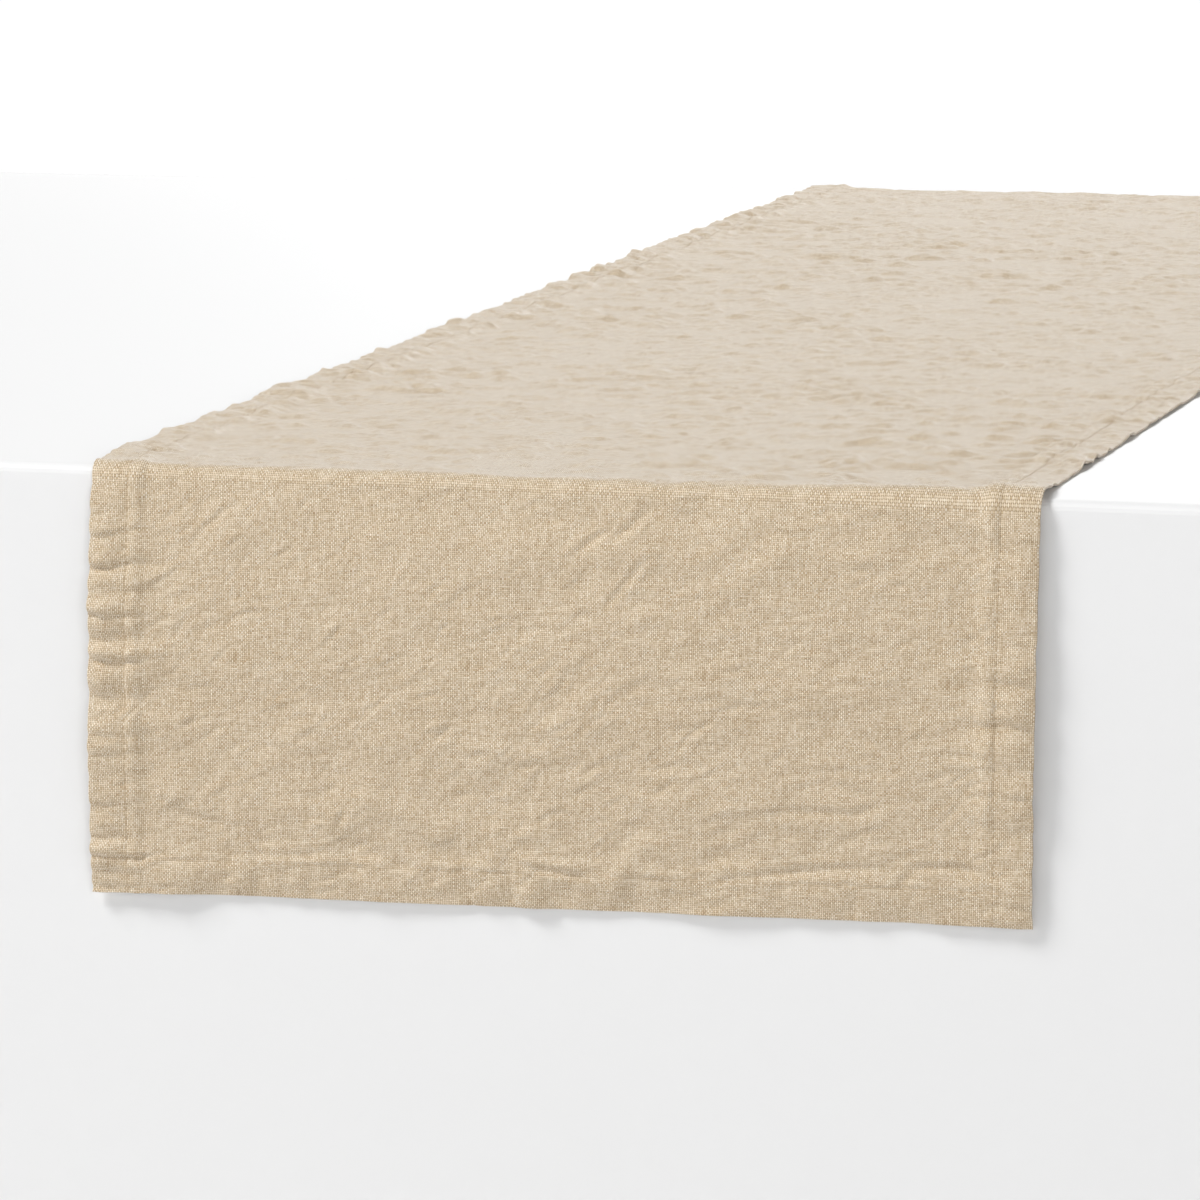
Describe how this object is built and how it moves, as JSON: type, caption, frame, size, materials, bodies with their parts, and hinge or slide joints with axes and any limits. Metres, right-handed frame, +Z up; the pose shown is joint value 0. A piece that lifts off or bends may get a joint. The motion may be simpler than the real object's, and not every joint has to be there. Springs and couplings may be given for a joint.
{
  "type": "table runner",
  "caption": "Washed linen table runner with stitched hems, draped along a table with a hanging end over each table edge that lifts.",
  "frame": {"origin": "centre of the runner's underside, in the plane of the table top it lies on", "axes": "+Z up, +Y along the runner towards its far end, +X across it to the right seen from the near end"},
  "size_m": [0.4, 1.1534, 0.1783],
  "materials": {
    "linen": "undyed washed linen in plain weave, matte with a faint sheen, the field and its folded hems alike",
    "sewing_thread": "matching lockstitch thread, matte"
  },
  "bodies": {
    "top": {"top_panel": "linen", "top_left_hem": "linen", "top_right_hem": "linen", "top_left_stitching": "sewing_thread", "top_right_stitching": "sewing_thread", "near_bend_panel": "linen", "near_bend_left_hem": "linen", "near_bend_right_hem": "linen", "near_bend_left_stitching": "sewing_thread", "near_bend_right_stitching": "sewing_thread", "far_bend_panel": "linen", "far_bend_left_hem": "linen", "far_bend_right_hem": "linen", "far_bend_left_stitching": "sewing_thread", "far_bend_right_stitching": "sewing_thread"},
    "near_drop": {"near_drop_panel": "linen", "near_drop_left_hem": "linen", "near_drop_right_hem": "linen", "near_drop_left_stitching": "sewing_thread", "near_drop_right_stitching": "sewing_thread", "near_drop_end_stitching": "sewing_thread", "near_drop_end_hem": "linen"},
    "far_drop": {"far_drop_panel": "linen", "far_drop_left_hem": "linen", "far_drop_right_hem": "linen", "far_drop_left_stitching": "sewing_thread", "far_drop_right_stitching": "sewing_thread", "far_drop_end_stitching": "sewing_thread", "far_drop_end_hem": "linen"}
  },
  "joints": [
    {"name": "near_drop_lift", "type": "hinge", "parent": "top", "child": "near_drop", "pos_m": [0, -0.57416, -0.00084], "axis": [-1, 0, 0], "range_deg": [0, 90], "deforming": ["near_bend_panel", "near_bend_left_hem", "near_bend_right_hem", "near_bend_left_stitching", "near_bend_right_stitching"]},
    {"name": "far_drop_lift", "type": "hinge", "parent": "top", "child": "far_drop", "pos_m": [0, 0.57416, -0.00084], "axis": [1, 0, 0], "range_deg": [0, 90], "deforming": ["far_bend_panel", "far_bend_left_hem", "far_bend_right_hem", "far_bend_left_stitching", "far_bend_right_stitching"]}
  ]
}
